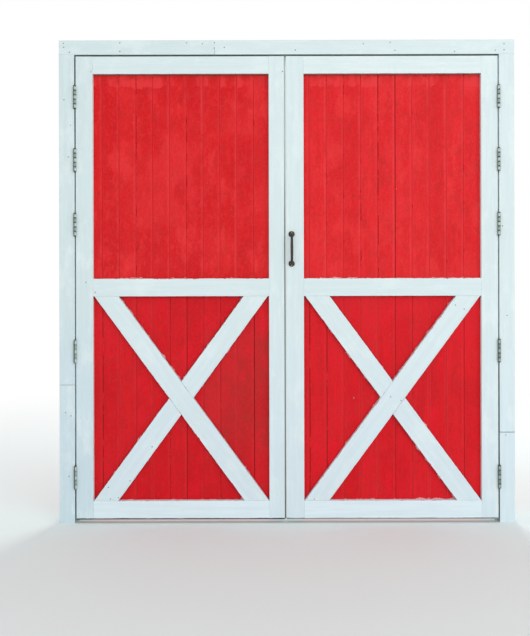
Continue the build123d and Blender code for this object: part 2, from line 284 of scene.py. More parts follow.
def newMaterial(name):
    material = bpy.data.materials.new(name)
    material.use_nodes = True
    return material, material.node_tree


def setLooks(colour, roughness, height, bump, sheen=0.5, metallic=0.0):
    # bump: how strong the height shows, and how high it stands in metres
    tree = treeOf(height)
    relief = put(tree, "Bump")
    for label, value in zip(("Strength", "Distance", "Height"), (*bump, height)):
        feed(relief.inputs[label], value)
    looks = {"Base Color": colour, "Roughness": roughness, "Specular IOR Level": sheen,
             "Metallic": metallic, "Normal": relief.outputs["Normal"]}
    for label, value in looks.items():
        feed(tree.nodes["Principled BSDF"].inputs[label], value)


# Shared effects. A noise is given as stretch, scale, detail and roughness.

brush = {
    "bristle": ((0.03, 1, 1), 210, 3, 0.7),
    "bristleFade": (0.52, 0.72),
    "stroke": ((0.06, 1, 1), 60, 4, 0.65),
    "strokeFade": (0.62, 0.40),
    "cloud": ((0.45, 1, 1), 13, 6, 0.68),
    "cloudFade": (0.50, 0.66),
    "roughness": (0.36, 0.66),
    "bristleHeight": 0.55,
    "strokeHeight": 0.8,
}


def makeBrushedPaint():
    # bristle marks, strokes and cloudy patches, all drawn out along X
    inputs = ("Vector", "Base", "Light", "Dark", "Bristles", "Strokes", "Patches")
    tree, given, result = newGroup("brushedPaint", inputs, ("Color", "Roughness", "Height"))
    kinds = ("bristle", "stroke", "cloud")
    bristle, stroke, cloud = (noise(given["Vector"], *brush[kind]) for kind in kinds)
    colour = layered(given["Base"], [
        (shareOf(stroke, brush["strokeFade"], given["Strokes"]), given["Dark"]),
        (shareOf(cloud, brush["cloudFade"], given["Patches"]), given["Light"]),
        (shareOf(bristle, brush["bristleFade"], given["Bristles"]), given["Dark"])])
    height = sums("MULTIPLY_ADD", bristle, brush["bristleHeight"], times(stroke, brush["strokeHeight"]))
    feed(result["Color"], colour)
    feed(result["Roughness"], between(cloud, *brush["roughness"]))
    feed(result["Height"], height)
    return tree


def makeSpecks():
    # sparse round dots: Share of the cells show theirs
    tree, given, result = newGroup("specks", ("Vector", "Cells", "Radius", "Share"), ["Mask"])
    cells = put(tree, "TexVoronoi")
    feed(cells.inputs["Vector"], given["Vector"])
    feed(cells.inputs["Scale"], given["Cells"])
    reach = times(given["Radius"], given["Cells"])
    inside = sums("LESS_THAN", cells.outputs["Distance"], reach)
    split = put(tree, "SeparateColor")
    feed(split.inputs[0], cells.outputs["Color"])
    chosen = sums("LESS_THAN", split.outputs[0], given["Share"])
    feed(result["Mask"], times(inside, chosen))
    return tree


ragged = {
    "creep": ((1, 0.2, 0.2), 34, 4, 0.7),
    "creepFade": (0.42, 0.78),
    "stray": ((1, 1, 1), 24, 5, 0.75),
    "strayFade": (0.50, 0.70),
}


def makeRaggedEdge():
    # another paint crept over a board's edge: Across grows towards the edge
    tree, given, result = newGroup("raggedEdge", ("Vector", "Across", "Edge", "Creep"), ["Mask"])
    wander = noise(given["Vector"], *ragged["creep"])
    reach = shareOf(wander, ragged["creepFade"], given["Creep"])
    line = sums("SUBTRACT", given["Edge"], reach)
    feed(result["Mask"], sums("GREATER_THAN", given["Across"], line))
    return tree


def makeStrayPaint():
    # ragged smears of paint past an edge that is Distance away
    tree, given, result = newGroup("strayPaint", ("Vector", "Distance", "Reach"), ["Mask"])
    wander = noise(given["Vector"], *ragged["stray"])
    reach = shareOf(wander, ragged["strayFade"], given["Reach"])
    feed(result["Mask"], sums("LESS_THAN", given["Distance"], reach))
    return tree


brushedPaint = makeBrushedPaint()
specks = makeSpecks()
raggedEdge = makeRaggedEdge()
strayPaint = makeStrayPaint()
print("stage: shared effects made")


# Where a board's paint is drawn from

uprightTurn, levelTurn = 90, 0
seedStep = (3.7, 1.9, 5.3)


def turnOf(node):  # the heads and rails lie level, the rest stand upright
    return levelTurn if "head" in node or "rail" in node else uprightTurn


def startBoard(node, turn, centre, seed):
    # the vector's X runs along the grain and its Z across; the level is the height above the floor
    material, tree = newMaterial(node + "_paint")
    place = objectPlace(tree)
    mapping = put(tree, "Mapping")
    angle = math.radians(turn)
    x, y, z = centre
    along = x * math.cos(angle) + z * math.sin(angle)
    across = -x * math.sin(angle) + z * math.cos(angle)
    mapping.inputs["Rotation"].default_value = (0, angle, 0)
    mapping.inputs["Location"].default_value = (-along, -y, -across)
    feed(mapping.inputs["Vector"], place)
    framed = mapping.outputs[0]
    return SimpleNamespace(
        node=node, material=material, place=place, level=parts(place)[upZ],
        vector=vectorMath("ADD", framed, [seed * step for step in seedStep]),
        across=parts(framed)[upZ], direction=parts(facing(tree)))


def brushOn(board, colours, strengths):
    # colours: base, light and dark; strengths: of bristles, strokes and patches
    base, light, dark = colours
    bristles, strokes, patches = strengths
    return useGroup(brushedPaint, Vector=board.vector, Base=base, Light=light, Dark=dark,
                    Bristles=bristles, Strokes=strokes, Patches=patches)


def dress(node, material):
    mesh = nodes[node].data
    mesh.materials.clear()
    mesh.materials.append(material)


paintSheen = 0.15  # the outer paints are old and nearly matt


def dressPainted(board, paint, colour, bump, sheen=paintSheen):
    setLooks(colour, paint["Roughness"], paint["Height"], bump, sheen)
    dress(board.node, board.material)


# White painted timber

whitePaint = {
    "base": tone(217, 231, 233),
    "light": tone(227, 238, 239),
    "dark": tone(196, 211, 214),
    # a darker tone for painted shade on the left side, and a lighter one for painted light
    "paintedShade": tone(212, 227, 229),
    "paintedLight": tone(222, 234, 236),
    "low": tone(214, 230, 237),  # bluer near the ground: painted cool light from below
    # the same near the ground: painted shade on the left side, painted light on the bottom rails
    "lowPaintedShade": tone(203, 222, 231),
    "lowPaintedLight": tone(222, 237, 244),
    "lowFade": (1.25, 0.3),
    "edge": tone(234, 243, 242),  # painted light on the edges that face a gap, where shade falls
    # painted shade low on the edges that face a gap, also the dark joint between two lengths of casing
    "shadeAndJointDirt": tone(98, 106, 98),
    "paintedGapShare": 0.8,
    # painted shade on faces that look down
    "underside": tone(104, 112, 98),
    "undersideShare": 0.85,
    "speck": tone(96, 92, 84),
    "speckCells": 11.0,
    "speckRadius": 0.0022,
    "red": tone(196, 40, 46),
    "brush": (0.16, 0.20, 0.5),
    "jointFade": (0.0034, 0.0008),  # dirt between two lengths of casing
    "jointShare": 0.62,
    "damp": tone(22, 22, 20),  # painted shade along the lowest edge of a leaf
    "dampFade": (0.0035, 0.0015),
    "dampWander": 0.007,
    "dampNoise": ((0.4, 1, 1), 22, 4, 0.7),
    "facesFront": (-0.5, -0.8),
    "facesSide": (0.8, 0.95),
    "facesDown": (-0.8, -0.95),
    "bump": (0.35, 0.0006),
}

plainBoard = {  # where a board's own settings say nothing else
    "creep": (0.0, 0.0),  # how far red has crept over its low and its high edge
    "specks": 0.05,
    "edgeShade": (2.4, 2.5),  # the levels between which painted light on its gap edges turns to painted shade
    "tones": ("low", "base"),
    "jointAt": None,
    "rough": 1.0,
    # no painted shade at the foot unless given
    "damp": 0.0,
}


def creptLayers(board, half, creep):
    front = fade(board.direction[deepY], *whitePaint["facesFront"])
    for reach, sign in zip(creep, (-1.0, 1.0)):
        if reach > 0:
            crept = useGroup(raggedEdge, Vector=board.vector, Across=times(board.across, sign),
                             Edge=half, Creep=reach)
            yield times(crept["Mask"], front), whitePaint["red"]


def shadeLayers(board, own):  # painted light and shade on edges that face sideways, painted shade on those that face down and at the foot
    edge = mixed(fade(board.level, *own["edgeShade"]), whitePaint["edge"], whitePaint["shadeAndJointDirt"])
    sideways = sums("ABSOLUTE", board.direction[acrossX])
    yield shareOf(sideways, whitePaint["facesSide"], whitePaint["paintedGapShare"]), edge
    down = board.direction[upZ]
    yield shareOf(down, whitePaint["facesDown"], whitePaint["undersideShare"]), whitePaint["underside"]
    if own["damp"] > 0:
        wander = noise(board.vector, *whitePaint["dampNoise"])
        height = sums("MULTIPLY_ADD", wander, -whitePaint["dampWander"], board.level)
        limits = [leafBottom + above for above in whitePaint["dampFade"]]
        yield shareOf(height, limits, own["damp"]), whitePaint["damp"]


def dressWhite(node, turn, centre, seed, half, **given):
    own = {**plainBoard, **given}
    board = startBoard(node, turn, centre, seed)
    low, high = (whitePaint[key] for key in own["tones"])
    base = mixed(fade(board.level, *whitePaint["lowFade"]), high, low)
    bristles, strokes, patches = whitePaint["brush"]
    paint = brushOn(board, (base, whitePaint["light"], whitePaint["dark"]),
                    (bristles * own["rough"], strokes * own["rough"], patches))
    dots = useGroup(specks, Vector=board.vector, Cells=whitePaint["speckCells"],
                    Radius=whitePaint["speckRadius"], Share=own["specks"])
    layers = [(dots["Mask"], whitePaint["speck"])]
    if own["jointAt"] is not None:
        away = apartFrom(board.level, own["jointAt"])
        joint = shareOf(away, whitePaint["jointFade"], whitePaint["jointShare"])
        layers.append((joint, whitePaint["shadeAndJointDirt"]))
    layers += [*creptLayers(board, half, own["creep"]), *shadeLayers(board, own)]
    colour = layered(paint["Color"], layers)
    dressPainted(board, paint, colour, whitePaint["bump"])


def dressBoard(node, seed, **own):
    turn = turnOf(node)
    low, high = span(node, acrossX if turn == uprightTurn else upZ)
    dressWhite(node, turn, middleOf(node), seed, (high - low) / 2, **own)


# darker tones on the left casings and the head's left half are painted shade; each casing's two levels set
# where painted shade grows on its gap edges
casings = {
    "left_casing_lower": {"specks": 0.36, "edgeShade": (0.5, 0.1), "rough": 1.7, "tones": ("lowPaintedShade", "base")},
    "left_casing_upper": {"specks": 0.22, "edgeShade": (1.5, 1.9), "rough": 1.5, "tones": ("lowPaintedShade", "paintedShade")},
    "right_casing_lower": {"specks": 0.12, "edgeShade": (0.6, 0.3)},
    "right_casing_upper": {"specks": 0.06, "edgeShade": (0.9, 0.5),
                           "jointAt": span("right_casing_upper", upZ)[0]},
    "head_casing_left": {"specks": 0.16, "tones": ("low", "paintedShade")},
    "head_casing_right": {"specks": 0.16},
}
for seed, (node, own) in enumerate(casings.items(), start=1):
    dressBoard(node, seed, **own)

leafBoards = {
    "hinge_stile": {"creep": (0.0012, 0.0)},
    "meeting_stile": {},
    "top_rail": {"creep": (0.0012, 0.0)},
    "mid_rail": {"creep": (0.001, 0.0045)},
    "bottom_rail": {"creep": (0.0, 0.0022)},
}
# darker tones for painted shade on the left hinge stile, lighter ones for painted light on the bottom rails
# and the right top rail
leafTones = {
    "left_hinge_stile": ("lowPaintedShade", "paintedShade"),
    "left_bottom_rail": ("lowPaintedLight", "base"),
    "right_top_rail": ("low", "paintedLight"),
    "right_bottom_rail": ("lowPaintedLight", "base"),
}
leafSpecks = 0.04
# the last number is the share of painted shade along each leaf's lowest edge
for side, firstSeed, damp in (("left", 11, 0.95), ("right", 21, 0.7)):
    for seed, (piece, own) in enumerate(leafBoards.items(), start=firstSeed):
        node = f"{side}_{piece}"
        tones = leafTones.get(node, plainBoard["tones"])
        dressBoard(node, seed, specks=leafSpecks, tones=tones, damp=damp, **own)


# Cross braces

braces = {
    "specks": 0.06,
    "longCreep": (0.002, 0.004),
    "shortCreep": (0.002, 0.003),
    "endSlack": 1e-4,  # corners this close belong to a cut end
}


def braceLine(node):
    # a brace's slope and half width, from the corners of its cut ends
    points = np.array([vertex.co for vertex in nodes[node].data.vertices])
    low, high = points[:, upZ].min(), points[:, upZ].max()
    foot = points[points[:, upZ] < low + braces["endSlack"]][:, acrossX]
    head = points[points[:, upZ] > high - braces["endSlack"]][:, acrossX]
    run = (head.min() + head.max() - foot.min() - foot.max()) / 2
    slope = math.atan2(high - low, run)
    half = (head.max() - head.min()) / 2 * math.sin(slope)
    return math.degrees(slope), half


braceLines = {}
for side, seed in (("left", 31), ("right", 41)):
    longBrace = side + "_long_brace"
    slope, half = braceLine(longBrace)
    longMiddle = middleOf(longBrace)
    shortMiddle = 2 * middleOf(side + "_bottom_rail") - longMiddle
    shortMiddle[upZ] = longMiddle[upZ]
    braceLines[side] = [(slope, longMiddle, half), (180 - slope, shortMiddle, half)]
    dressWhite(longBrace, slope, longMiddle, seed, half, creep=braces["longCreep"], specks=braces["specks"])
    for number, end in enumerate(("lower", "upper"), start=1):
        dressWhite(f"{side}_short_brace_{end}", 180 - slope, shortMiddle, seed + number, half,
                   creep=braces["shortCreep"], specks=braces["specks"])
print("stage: white timber painted")


# Red boards. Two values of a setting are for the lower and the upper panel.

redNoises = {  # stretch, scale, detail, roughness and offset
    "weathered": ((0.6, 1, 1), 34, 6, 0.8),
    "mottle": ((0.7, 1, 1), 46, 5, 0.75, (5.1, 2.3, 7.7)),
    "grit": ((0.7, 1, 1), 125, 2, 0.8, (2.2, 9.1, 4.4)),
    "lapLine": ((0.3, 1, 1), 16, 3, 0.6),
    "along": ((1, 0.1, 0.1), 9, 4, 0.7),
}
leafNoises = {  # drawn from the leaf, so that they run on from board to board
    "broad": ((1, 1, 1), 2.6, 3, 0.6),
    "touched": ((1, 1, 0.5), 7.5, 5, 0.62, (3.3, 0.0, 1.7)),
}
redPaint = {
    # the lower tones' bluer cast is painted cool light from below, and the left leaf's darker tones are
    # painted shade
    "left": (tone(210, 3, 20), tone(210, 13, 21)),
    "right": (tone(218, 8, 24), tone(223, 26, 34)),
    "light": (tone(220, 26, 40), tone(230, 50, 54)),
    "dark": (tone(190, 8, 22), tone(200, 14, 22)),
    "touchedUp": (tone(232, 10, 38), tone(240, 60, 62)),
    "shadow": tone(112, 16, 22),
    "strayWhite": tone(240, 150, 148),
    "brush": (0.24, 0.42),
    "patches": (0.4, 0.55),
    "facesFront": (-0.2, -0.5),
    "bump": (0.4, 0.0008),
}


def startRedBoard(node, side, seed, lift):
    # upper is 0 in the lower panel, 1 in the upper and half on the back
    board = startBoard(node, uprightTurn, middleOf(node), seed)
    board.front = fade(board.direction[deepY], *redPaint["facesFront"])
    upper = sums("SUBTRACT", fade(board.level, midRailBottom, midRailTop), 0.5)
    board.upper = sums("MULTIPLY_ADD", upper, board.front, 0.5)
    for kind in ("light", "dark", "touchedUp"):
        setattr(board, kind, mixed(board.upper, *redPaint[kind]))
    lifted = redPaint["light"][1] if lift > 0 else redPaint["dark"][0]
    board.base = mixed(abs(lift), mixed(board.upper, *redPaint[side]), lifted)
    for vector, noises in ((board.vector, redNoises), (board.place, leafNoises)):
        for kind, looks in noises.items():
            setattr(board, kind, noise(vector, *looks))
    return board


weathering = {
    "fade": (0.47, 0.68),
    "share": 0.5,
    "tone": tone(172, 38, 36),
    "wornHead": (0.95, 0.8),  # a worn board's lower part, between these levels
    "wornFoot": (0.15, 0.45),
}
redWear = (  # noise, where it fades in, share, tone
    ("mottle", (0.50, 0.68), (0.4, 0.4), "light"),
    ("broad", (0.48, 0.36), (0.42, 0.42), "dark"),
    ("broad", (0.50, 0.64), (0.42, 0.42), "light"),
    ("touched", (0.55, 0.64), (0.32, 0.32), "touchedUp"),
    ("grit", (0.51, 0.63), (0.36, 0.30), "light"),
    ("grit", (0.47, 0.35), (0.36, 0.30), "dark"),
)


def wearLayers(board, worn):
    # weathered, mottled, uneven and touched-up paint, then grit
    weathered = shareOf(board.weathered, weathering["fade"], weathering["share"])
    foot = fade(board.level, *weathering["wornFoot"])
    lowPart = shareOf(board.level, weathering["wornHead"], foot, board.front)
    yield sums("MULTIPLY_ADD", lowPart, worn, weathered), weathering["tone"]
    for kind, limits, shares, over in redWear:
        seen = [board.front] if kind == "touched" else []
        share = shareOf(getattr(board, kind), limits, between(board.upper, *shares), *seen)
        yield share, getattr(board, over)


redTop = {
    "lap": tone(230, 54, 58),
    "lapBelow": (0.017, 0.087),  # how far under the rail the second coat ends
    "lapEdge": (0.0, 0.006),
    "lapFade": (0.42, 0.60),
    "lapShare": 0.75,
    "band": tone(196, 34, 24),
    "bandBelow": (0.035, 0.01),
    "bandFade": (0.54, 0.44),
    "bandShare": 0.6,
}


def topLayers(board):
    # a thin second coat under the top rail, and thin dark paint close to it
    line = between(board.lapLine, *(topRailBottom - below for below in redTop["lapBelow"]))
    inside = fade(sums("SUBTRACT", board.level, line), *redTop["lapEdge"])
    yield shareOf(board.lapLine, redTop["lapFade"], inside, board.front, redTop["lapShare"]), redTop["lap"]
    inside = fade(board.level, *(topRailBottom - below for below in redTop["bandBelow"]))
    band = shareOf(board.mottle, redTop["bandFade"], inside, board.front, redTop["bandShare"])
    yield band, redTop["band"]


redSpecks = {  # stretch, offset, cells, radius, share of the cells, strength, tone
    "knots": ((0.6, 1, 1), (0, 0, 0), 9.0, 0.0028, 0.12, 0.8, tone(96, 22, 26)),
    "flecks": ((0.5, 1, 1), (0, 0, 0), 16.0, 0.0016, 0.10, 0.55, redPaint["strayWhite"]),
    "scratches": ((0.07, 1, 1), (1.2, 4.6, 0.8), 20.0, 0.0009, 0.12, 0.35, redPaint["strayWhite"]),
}


def speckLayers(board):
    for kind, (stretch, offset, cells, radius, share, strength, over) in redSpecks.items():
        vector = vectorMath("MULTIPLY", vectorMath("ADD", board.vector, offset), stretch)
        dots = useGroup(specks, Vector=vector, Cells=cells, Radius=radius, Share=share)
        seen = [] if kind == "knots" else [board.front]
        yield times(dots["Mask"], *seen, strength), over


beside = {
    "braceFade": (0.006, 0.0),
    "braceShare": 0.42,
    "topFade": (0.005, 0.0),
    "midFade": (0.006, 0.0),
    "railShare": 0.5,
    "smear": tone(232, 196, 200),
    "smearReach": 0.007,
    "smearShare": 0.6,
    "railEdge": 0.001,  # a smear starts this far above a rail
}


def besideLayers(board, side):
    # shade beside the braces, and stray white paint past braces and rails
    x, y, z = parts(board.place)
    above = sums("GREATER_THAN", z, midRailBottom)
    nearest = sums("ADD", above, 1.0)
    for turn, middle, half in braceLines[side]:
        sine, cosine = math.sin(math.radians(turn)), math.cos(math.radians(turn))
        offset = middle[acrossX] * sine - middle[upZ] * cosine
        across = sums("MULTIPLY_ADD", x, -sine, sums("MULTIPLY_ADD", z, cosine, offset))
        away = sums("SUBTRACT", sums("ABSOLUTE", across), half)
        nearest = sums("MINIMUM", nearest, sums("ADD", away, above))
    yield shareOf(nearest, beside["braceFade"], board.front, beside["braceShare"]), redPaint["shadow"]
    for rail in (bottomRailTop, midRailTop):
        nearest = sums("MINIMUM", nearest, apartFrom(z, rail + beside["railEdge"]))
    stray = useGroup(strayPaint, Vector=board.vector, Distance=nearest, Reach=beside["smearReach"])
    yield times(stray["Mask"], board.front, beside["smearShare"]), beside["smear"]


def underRails(board):
    underTop = fade(apartFrom(board.level, topRailBottom), *beside["topFade"])
    underMid = fade(apartFrom(board.level, midRailBottom), *beside["midFade"])
    shade = times(sums("MAXIMUM", underTop, underMid), board.front, beside["railShare"])
    yield shade, redPaint["shadow"]


seams = {
    "light": tone(238, 74, 78),
    "dark": tone(126, 0, 10),
    "ridgeIn": 0.011,  # from the right edge: painted highlight on a ridge of built-up paint
    "ridgeWidth": 0.011,
    "ridgeFade": (0.30, 0.62),
    "leastRidge": 0.12,
    "valleyWidth": (0.019, 0.003),  # painted shade in from the left edge
    "valleyFade": (0.35, 0.60),
    "valleyShare": 0.5,
    "litFlank": (0.3, 0.6),  # the groove's side that faces the key lamp
    # painted shade on the groove's lit side, and in the lower panel a painted highlight on it
    "litDark": 0.05,
    "litLight": 0.2,  # in the lower panel
    "shadedFlank": (-0.3, -0.6),
    # painted light on the groove's shaded side where the seam is shut
    "shadedFlankLight": 0.75,
    "gapeMore": 0.24,  # in the lower panel
    "gapeFade": (0.06, -0.02),
    "gapeDepth": 0.8,
}


# painted highlights and shade along a board's seams, and the dark of its open seams
def seamLayers(board, half, own):
    along, front, upper = board.along, board.front, board.upper
    ridgeHighlight = fade(apartFrom(board.across, seams["ridgeIn"] - half), seams["ridgeWidth"], 0.0)
    built = between(upper, seams["leastRidge"], seams["leastRidge"] + own["ridgeHighlight"])
    yield shareOf(along, seams["ridgeFade"], ridgeHighlight, built, front), seams["light"]
    valleyShade = fade(sums("ADD", board.across, half), *seams["valleyWidth"])
    yield shareOf(along, seams["valleyFade"], valleyShade, front, seams["valleyShare"]), board.dark
    lit = fade(board.direction[acrossX], *seams["litFlank"])
    yield times(lit, seams["litDark"]), seams["dark"]
    yield times(lit, between(upper, seams["litLight"], 0.0)), seams["light"]
    threshold = between(upper, own["gape"] + seams["gapeMore"], own["gape"])
    depth = between(upper, own["lowDepth"], seams["gapeDepth"])
    gaping = shareOf(sums("SUBTRACT", along, threshold), seams["gapeFade"], depth)
    seam = layered(board.base, [(seams["shadedFlankLight"], seams["light"]), (gaping, seams["dark"])])
    yield fade(board.direction[acrossX], *seams["shadedFlank"]), seam


def dressRed(node, side, seed, own):
    start, end = span(node, acrossX)
    board = startRedBoard(node, side, seed, own["lift"])
    paint = brushOn(board, (board.base, board.light, board.dark),
                    (*redPaint["brush"], between(board.upper, *redPaint["patches"])))
    layers = [*wearLayers(board, own["worn"]), *topLayers(board), *speckLayers(board),
              *besideLayers(board, side), *seamLayers(board, (end - start) / 2, own), *underRails(board)]
    colour = layered(paint["Color"], layers)
    dressPainted(board, paint, colour, redPaint["bump"])


# Gape: how far a board's seam gapes; lowDepth: how dark that is in the lower panel
redLeaves = {
    "left": {
        "seed": 60, "phase": 0.4, "lift": -0.03, "ridgeHighlight": 0.20, "wornLast": 4,
        "gape": {4: 0.47, 7: 0.40},
        "lowDepth": {2: 0.9, 4: 0.4, 6: 0.6, 7: 0.85, 8: 0.4, 9: 0.6, 11: 1.0}},
    "right": {
        "seed": 90, "phase": 1.9, "lift": 0.03, "ridgeHighlight": 0.28, "wornLast": 0,
        "gape": {5: 0.42, 6: 0.50, 7: 0.70},
        "lowDepth": {2: 0.9, 3: 0.8, 4: 0.3, 7: 0.6, 8: 0.4, 11: 0.6}},
}
usual = {"gape": 0.34, "lowDepth": 0.12, "worn": 0.6}
spread = {"lift": (0.16, 2.4), "gape": (0.05, 1.7), "ridgeHighlight": (0.14, 2.9)}  # a wave's size and step
boardCount = sum(name.startswith("left_board_") for name in nodes)


def ownLooks(leaf, number):
    wave = {key: size * math.sin(step * number + leaf["phase"]) for key, (size, step) in spread.items()}
    return {
        "lift": leaf["lift"] + wave["lift"],
        "ridgeHighlight": leaf["ridgeHighlight"] + wave["ridgeHighlight"],
        "gape": leaf["gape"].get(number, usual["gape"] + wave["gape"]),
        "lowDepth": leaf["lowDepth"].get(number, usual["lowDepth"]),
        "worn": usual["worn"] if number > boardCount - leaf["wornLast"] else 0.0}


for side, leaf in redLeaves.items():
    for number in range(1, boardCount + 1):
        node = f"{side}_board_{number:02d}"
        dressRed(node, side, leaf["seed"] + number, ownLooks(leaf, number))
print("stage: red boards painted")


# Jambs and stops

jambPaint = {
    "tones": (tone(222, 231, 230), tone(232, 240, 240), tone(196, 204, 201)),
    "brush": (0.3, 0.4, 0.6),
    "sheen": 0.5,
    "bump": (0.5, 0.0008),
}
jambSeeds = {"left_jamb": 131, "right_jamb": 132, "left_stop": 133, "right_stop": 134,
             "head_jamb": 141, "head_stop": 142}
for node, seed in jambSeeds.items():
    board = startBoard(node, turnOf(node), middleOf(node), seed)
    paint = brushOn(board, jambPaint["tones"], jambPaint["brush"])
    dressPainted(board, paint, paint["Color"], jambPaint["bump"], jambPaint["sheen"])


# Metal and rubber

wear = {
    "patch": (4, 0.65),  # detail and roughness
    "fine": (2, 0.5),
    "fineness": 9,  # how many times smaller than the patches
    "edge": 0.08,
    "polish": 0.1,
    "bump": (0.25, 0.0003),
}


def wornMetal(name, bare, coat, coatShare, roughness, metallic, scale):
    # a coat that has worn off in patches over bare metal
    material, tree = newMaterial(name)
    place = objectPlace(tree)
    patch = noise(place, (1, 1, 1), scale, *wear["patch"])
    fine = noise(place, (1, 1, 1), scale * wear["fineness"], *wear["fine"])
    kept = fade(patch, 1.0 - coatShare - wear["edge"], 1.0 - coatShare + wear["edge"])
    polish = between(fine, roughness - wear["polish"], roughness + wear["polish"])
    setLooks(mixed(kept, bare, coat), polish, sums("ADD", patch, fine),
             wear["bump"], metallic=between(kept, metallic, 0.0))
    return material


knuckle = {
    "patch": ((1, 1, 1), 190, 4, 0.65),
    "wander": 0.010,
    "bareFade": (-0.0038, -0.0002),  # from a barrel's end
    "wornFade": (0.66, 0.58),
    "wornKept": 0.5,
    "lowFade": (1.0, 0.8),
    "lowerKept": 0.55,  # on the left
    "lowerWorn": 0.35,  # on the right
    "side": tone(58, 76, 76),  # painted shade beside a right hinge, and left of a left one
    "sideShadeShare": (0.7, 0.9),  # upper and lower hinges
    "shadeWander": 1.6,
    "leftFade": (0.30, -0.30),
    "rightFade": (0.50, 0.90),
    "roughness": (0.35, 0.65),
    "sheen": 0.3,
    "bump": (0.3, 0.0004),
}


def knuckleMetal(name, paint, bare):
    # painted barrels, bare where two of them meet, with painted shade along their sides
    material, tree = newMaterial(name)
    place = objectPlace(tree)
    x, y, z = parts(place)
    sideX = parts(facing(tree))[acrossX]
    patch = noise(place, *knuckle["patch"])
    lower = fade(z, *knuckle["lowFade"])
    onLeft = sums("LESS_THAN", x, 0.0)
    onRight = between(onLeft, 1.0, 0.0)
    toEnd = put(tree, "Attribute", attribute_name="mark").outputs["Fac"]
    reach = sums("MULTIPLY_ADD", patch, -knuckle["wander"], toEnd)
    unworn = between(fade(patch, *knuckle["wornFade"]), knuckle["wornKept"], 1.0)
    kept = shareOf(reach, knuckle["bareFade"], unworn)
    kept = sums("MAXIMUM", kept, times(lower, onLeft, knuckle["lowerKept"]))
    kept = times(kept, between(times(lower, onRight), 1.0, 1.0 - knuckle["lowerWorn"]))
    # painted shade on the barrel's sides: the left side of a left hinge, both sides of a right one
    away = sums("SUBTRACT", patch, 0.5)
    away = sums("MULTIPLY_ADD", away, knuckle["shadeWander"], sideX)
    oneSideShade = shareOf(away, knuckle["leftFade"], onLeft)
    bothSidesShade = shareOf(sums("ABSOLUTE", sideX), knuckle["rightFade"], onRight)
    edgeShade = times(sums("ADD", oneSideShade, bothSidesShade), between(lower, *knuckle["sideShadeShare"]))
    colour = layered(bare, [(kept, paint), (edgeShade, knuckle["side"])])
    setLooks(colour, between(patch, *knuckle["roughness"]), patch, knuckle["bump"], knuckle["sheen"])
    return material


# Bare tone, the coat's tone and share, roughness, metallic, size of the patches
metalLooks = {
    "hinge_plate": (tone(120, 120, 112), tone(160, 166, 162), 0.45, 0.45, 0.7, 120.0),
    "dark_steel": (tone(72, 70, 64), tone(60, 52, 44), 0.4, 0.5, 0.8, 120.0),
    "zinc": (tone(168, 170, 168), tone(140, 142, 138), 0.4, 0.38, 0.9, 60.0),
    "bronze_brown": (tone(92, 62, 44), tone(24, 23, 19), 0.62, 0.42, 0.5, 90.0),
    "nail_iron": (tone(112, 110, 104), tone(168, 174, 172), 0.5, 0.7, 0.2, 400.0),
    # brass screws on the handle's feet, made brighter as a painted highlight
    "brass_and_painted_highlight": (tone(204, 168, 108), tone(120, 92, 58), 0.35, 0.4, 0.7, 300.0),
}
metals = {name: wornMetal(name, *looks) for name, looks in metalLooks.items()}
metals["painted_knuckle"] = knuckleMetal("painted_knuckle", tone(186, 200, 196), tone(46, 60, 56))
metals["bare_knuckle"] = knuckleMetal("bare_knuckle", tone(152, 168, 154), tone(38, 52, 44))

metalNodes = {
    "hinge_plate": [name for name in nodes if name.endswith("_plates")],
    "dark_steel": ["hinge_pins"],
    "zinc": ["bolt_cases", "top_bolt", "bottom_bolt"],
    "bronze_brown": ["pull_handle"],
}
for metal, dressed in metalNodes.items():
    for node in dressed:
        dress(node, metals[metal])

rubber = {
    "dust": ((1, 1, 0.15), 60, 3, 0.6),
    "upperTone": (tone(196, 206, 202), tone(214, 222, 220)),
    "lowerTone": (tone(84, 92, 84), tone(136, 146, 140)),
    "upperFade": (1.25, 1.75),
    "roughness": 0.75,
    "bump": (0.3, 0.0004),
}


def sealRubber():
    # dusty rubber, lighter higher up
    material, tree = newMaterial("seal_rubber")
    place = objectPlace(tree)
    dust = noise(place, *rubber["dust"])
    lowerTone, upperTone = (mixed(dust, *rubber[kind]) for kind in ("lowerTone", "upperTone"))
    upper = fade(parts(place)[upZ], *rubber["upperFade"])
    setLooks(mixed(upper, lowerTone, upperTone), rubber["roughness"], dust, rubber["bump"])
    return material


dress("meeting_seal", sealRubber())
print("stage: metal and rubber made")


# Hinge knuckles: smooth barrels round the faceted ones

hinge = {
    "knuckles": 5,
    "knuckleGap": 0.0003,
    "barrelRadius": 0.00662,
    "boreRadius": 0.0037,
    "endRound": 0.0007,
    "bevelMiddle": 0.3,  # 0.5 would be a flat bevel and 0 a sharp corner
    "cap": (0.0055, 0.0032, 0.001, 6),  # radius, rise, rim, steps
    "plateSpace": 0.001,  # between the closed plates
    "plateClear": 0.05,  # plates stand further apart than this
    "screw": (0.0038, 0.0003, 0.0002, 5, 16),  # radius, rise, recess, rows, columns
    "screwDepths": (0.018, 0.034),  # from the pin's axis, near and far rows
    "screwHeights": (0.018, 0.040, 0.062, 0.084),
    "sides": 32,
    "capSides": 24,
}


def solidSpans(node, clear):
    # low and high level of each solid of a node, more than clear apart
    levels = np.sort([vertex.co[upZ] for vertex in nodes[node].data.vertices])
    breaks = np.flatnonzero(np.diff(levels) > clear) + 1
    return [(float(run[0]), float(run[-1])) for run in np.split(levels, breaks)]


